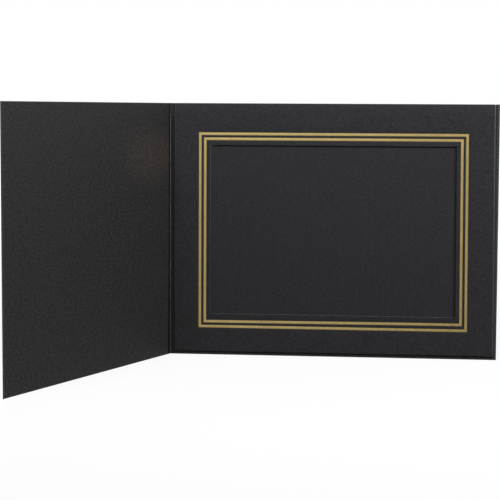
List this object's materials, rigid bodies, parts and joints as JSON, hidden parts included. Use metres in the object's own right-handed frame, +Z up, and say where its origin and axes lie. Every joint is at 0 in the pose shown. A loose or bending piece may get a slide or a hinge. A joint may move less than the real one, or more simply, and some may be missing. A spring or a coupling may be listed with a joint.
{
  "type": "photo folder",
  "caption": "Upright card photo folder that opens like a book: a plain cover folded from the back panel, with a landscape window sheet and two stamped gold rules.",
  "frame": {"origin": "centre of the standing folder's footprint, on the surface that it stands on", "axes": "+Z up; +X along the back panel, from the fold to its free edge; -Y towards the viewer, on the side that the cover swings to"},
  "size_m": [0.2854, 0.2128, 0.1715],
  "materials": {
    "cover_card": "matte",
    "frame_card": "matte",
    "gold_foil": "satin",
    "dried_glue": "satin"
  },
  "bodies": {
    "back": {"crease_strip": "cover_card", "back_panel": "cover_card", "top_fold": "frame_card", "frame_sheet": "frame_card", "outer_foil_rule": "gold_foil", "inner_foil_rule": "gold_foil", "side_glue_strip": "dried_glue", "bottom_glue_strip": "dried_glue"},
    "cover": {"front_cover": "cover_card"}
  },
  "joints": [
    {"name": "cover_fold", "type": "hinge", "parent": "back", "child": "cover", "pos_m": [-0.0785, 0.10539, 0], "axis": [0, 0, 1], "range_deg": [-73.4, 106.6]}
  ]
}
